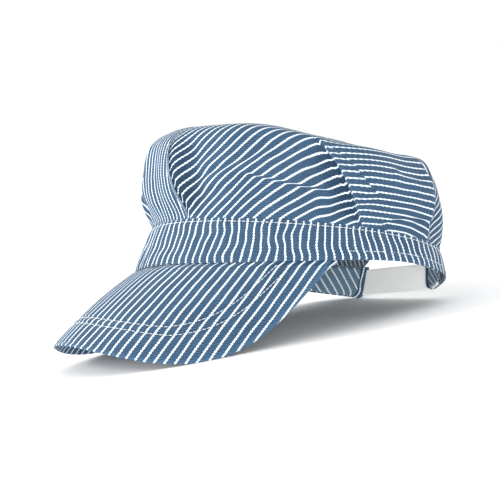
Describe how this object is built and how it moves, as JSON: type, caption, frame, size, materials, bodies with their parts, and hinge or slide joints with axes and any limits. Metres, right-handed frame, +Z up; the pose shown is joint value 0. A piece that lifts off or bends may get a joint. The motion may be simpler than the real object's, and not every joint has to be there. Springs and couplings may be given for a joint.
{
  "type": "railroad engineer cap",
  "caption": "Soft striped work cap: a full pleated crown on an upright band, a curved stiff visor at the front and an elastic strap across the open back",
  "frame": {"origin": "bottom centre of the bounding box, on the surface that the cap rests on", "axes": "+Z up, the visor points to -Y and the strap faces +Y, +X is the wearer's left"},
  "size_m": [0.1694, 0.2476, 0.1227],
  "materials": {
    "crown": "matt striped twill",
    "band": "matt striped twill",
    "facing": "matt striped twill",
    "visor": "matt striped twill over a stiff board",
    "strap": "matt smooth elastic webbing"
  },
  "bodies": {
    "root": {"crown": "crown", "band": "band", "facing": "facing", "visor": "visor", "strap": "strap"}
  },
  "joints": []
}
